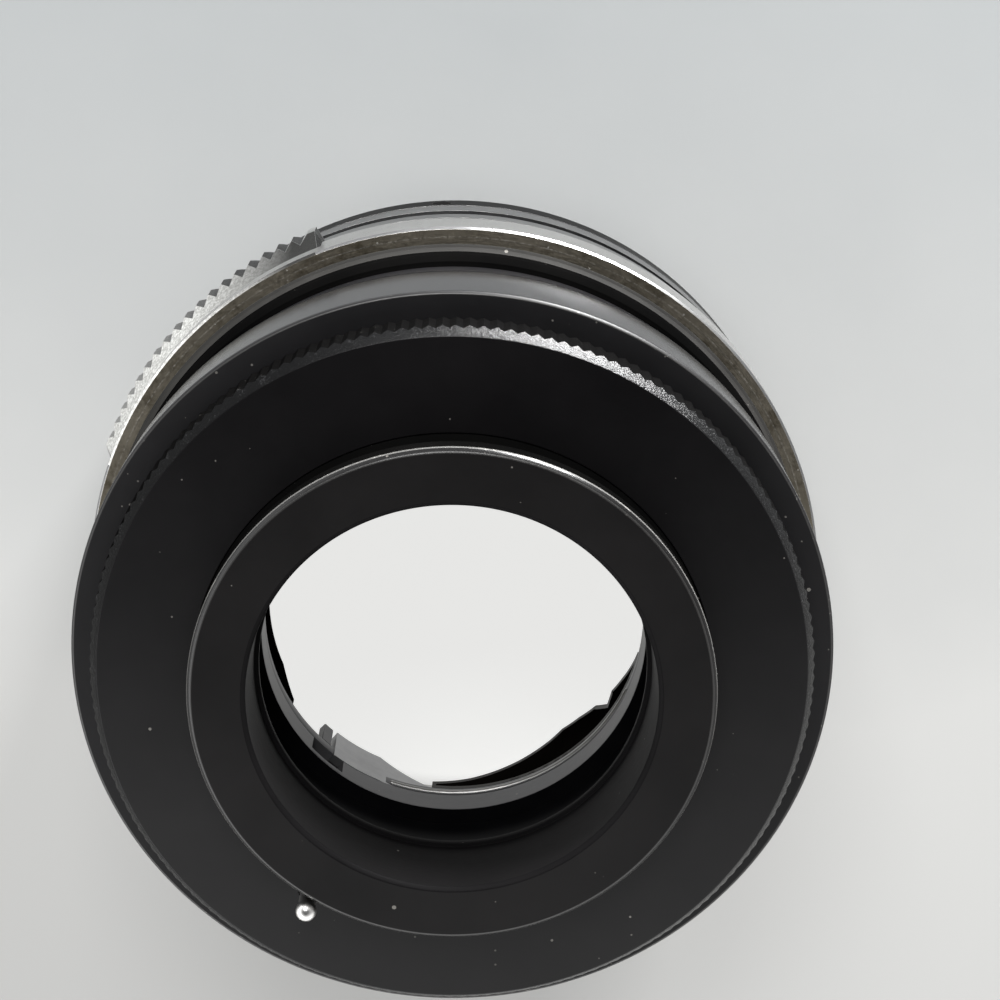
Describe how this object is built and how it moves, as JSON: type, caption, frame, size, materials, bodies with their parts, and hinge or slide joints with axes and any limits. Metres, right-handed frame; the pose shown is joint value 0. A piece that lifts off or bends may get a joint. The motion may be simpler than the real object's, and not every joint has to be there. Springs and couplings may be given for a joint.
{
  "type": "breech-lock lens mount adapter",
  "caption": "Open lens mount adapter: a black spigot with a sprung coupling pin in front, and a chrome breech-lock ring with toothed finger grips that turns behind it.",
  "frame": {"origin": "centre of the rear face, on the axis", "axes": "+Z along the axis towards the spigot; +Y towards the index dot"},
  "size_m": [0.0654, 0.0654, 0.0437],
  "materials": {
    "satin_black": "satin black anodised aluminium",
    "gloss_black": "gloss black paint",
    "satin_grey": "satin grey aluminium",
    "dark_steel": "blackened steel",
    "spring_steel": "bright spring steel",
    "polished_steel": "polished steel",
    "screw_steel": "plain steel",
    "bush_brass": "turned brass",
    "chromed_brass": "satin chrome",
    "dot_enamel": "dark enamel"
  },
  "bodies": {
    "barrel": {"core_barrel": "satin_black", "main_ring": "satin_black", "front_disc": "satin_black", "spigot_collar": "satin_black", "baffle_tube": "gloss_black", "sleeve": "satin_grey", "coupling_clip": "spring_steel", "pin_bush": "bush_brass", "disc_screws": "screw_steel", "set_screws": "dark_steel", "breech_retainer": "satin_grey", "retainer_screws": "screw_steel", "stop_screw": "screw_steel", "pin_spring": "spring_steel"},
    "breech": {"breech_ring": "chromed_brass", "index_dot": "dot_enamel"},
    "coupling": {"coupling_ring": "satin_grey", "lever_plate": "satin_grey", "lever_finger": "satin_grey", "cam_arm": "dark_steel"},
    "pin": {"coupling_pin": "polished_steel"}
  },
  "joints": [
    {"name": "breech_turn", "type": "hinge", "parent": "barrel", "child": "breech", "pos_m": [0, 0, 0], "axis": [0, 0, 1], "range_deg": [0, 55]},
    {"name": "coupling_turn", "type": "hinge", "parent": "barrel", "child": "coupling", "pos_m": [0, 0, 0.025], "axis": [0, 0, 1], "range_deg": [0, 18]},
    {"name": "pin_slide", "type": "slide", "parent": "barrel", "child": "pin", "axis": [0, 0, 1], "range_m": [-0.002, 0], "stiffness_N_per_m": 150, "deforming": ["pin_spring"]}
  ]
}
